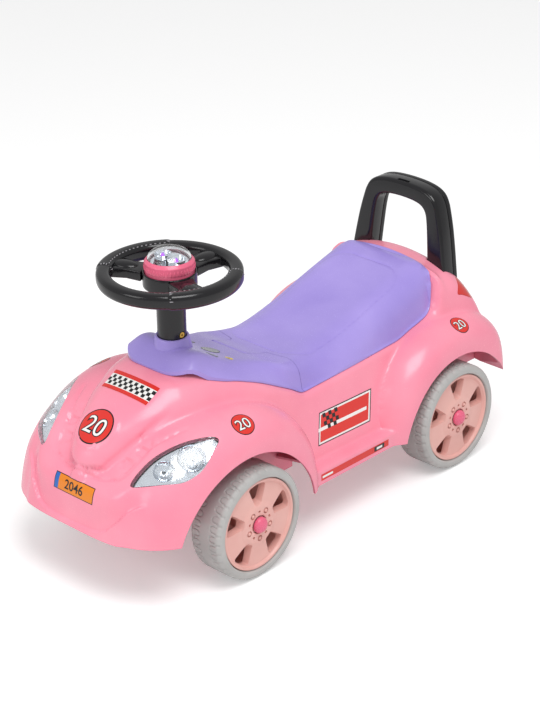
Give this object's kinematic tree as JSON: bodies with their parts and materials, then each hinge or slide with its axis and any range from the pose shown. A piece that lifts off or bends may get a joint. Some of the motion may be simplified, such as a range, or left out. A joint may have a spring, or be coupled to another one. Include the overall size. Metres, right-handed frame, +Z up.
{
  "type": "toddler push car",
  "caption": "Ride-on push car: moulded car body on free-rolling wheels, steering wheel that turns the front axle, hinged seat over a storage well, rear grab handle.",
  "frame": {"origin": "on the floor, under the centre of the car's bounding box", "axes": "-Y towards the nose, +X towards the car's left side, +Z up"},
  "size_m": [0.3, 0.6214, 0.3647],
  "materials": {
    "pink": "moulded pink polypropylene",
    "lilac": "moulded lilac polypropylene",
    "black": "moulded glossy black polypropylene",
    "tyre_grey": "moulded grey hard plastic",
    "rim": "moulded pale pink plastic",
    "cap": "moulded deep pink plastic",
    "clear": "clear polycarbonate",
    "metallised": "vacuum metallised plastic",
    "red": "red transparent plastic",
    "steel": "zinc plated",
    "brass": "bright",
    "board": "green solder mask"
  },
  "bodies": {
    "body": {"body_shell": "pink", "dash_cover": "lilac", "seat_hinge_pin": "steel", "storage_bin": "black", "handle_front": "black", "handle_rear": "black", "headlight_lens_left": "clear", "headlight_lens_right": "clear", "tail_light_lens_left": "red", "tail_light_lens_right": "red", "headlight_reflector_left": "metallised", "headlight_reflector_right": "metallised", "underbody_tray": "black", "rear_axle": "steel", "rear_left_push_nut": "steel", "rear_right_push_nut": "steel", "tray_screw_1": "steel", "tray_screw_2": "steel", "tray_screw_3": "steel", "tray_screw_4": "steel", "handle_screw_1": "steel", "handle_screw_2": "steel"},
    "steering": {"front_axle_beam": "black", "steering_rod": "steel", "beam_pin": "steel", "steering_washer": "steel", "steering_wheel": "black", "column_bolt": "brass", "column_nut": "brass", "button_ring": "cap", "circuit_board": "board", "battery_case": "black", "led_left": "clear", "led_right": "clear", "button_spring": "steel", "front_axle": "steel", "front_left_push_nut": "steel", "front_right_push_nut": "steel"},
    "siren_button": {"dome_button": "clear", "dome_reflector": "metallised"},
    "seat": {"seat_lid": "lilac"},
    "front_left_wheel": {"front_left_tyre": "tyre_grey", "front_left_rim": "rim", "front_left_hub_cap": "cap"},
    "front_right_wheel": {"front_right_tyre": "tyre_grey", "front_right_rim": "rim", "front_right_hub_cap": "cap"},
    "rear_left_wheel": {"rear_left_tyre": "tyre_grey", "rear_left_rim": "rim", "rear_left_hub_cap": "cap"},
    "rear_right_wheel": {"rear_right_tyre": "tyre_grey", "rear_right_rim": "rim", "rear_right_hub_cap": "cap"}
  },
  "joints": [
    {"name": "steering_turn", "type": "hinge", "parent": "body", "child": "steering", "pos_m": [0, -0.1407, 0.0675], "axis": [0, 0, 1], "range_deg": [-15, 15]},
    {"name": "siren_press", "type": "slide", "parent": "steering", "child": "siren_button", "axis": [0, 0, -1], "range_m": [0, 0.002], "stiffness_N_per_m": 400, "springref_m": -0.003, "deforming": ["button_spring"]},
    {"name": "seat_lift", "type": "hinge", "parent": "body", "child": "seat", "pos_m": [0, -0.0472, 0.20372], "axis": [1, 0, 0], "range_deg": [0, 85]},
    {"name": "front_left_roll", "type": "hinge", "parent": "steering", "child": "front_left_wheel", "pos_m": [0.11975, -0.1487, 0.0675], "axis": [1, 0, 0], "continuous": true},
    {"name": "front_right_roll", "type": "hinge", "parent": "steering", "child": "front_right_wheel", "pos_m": [-0.11975, -0.1487, 0.0675], "axis": [1, 0, 0], "continuous": true},
    {"name": "rear_left_roll", "type": "hinge", "parent": "body", "child": "rear_left_wheel", "pos_m": [0.11975, 0.2063, 0.0675], "axis": [1, 0, 0], "continuous": true},
    {"name": "rear_right_roll", "type": "hinge", "parent": "body", "child": "rear_right_wheel", "pos_m": [-0.11975, 0.2063, 0.0675], "axis": [1, 0, 0], "continuous": true}
  ]
}
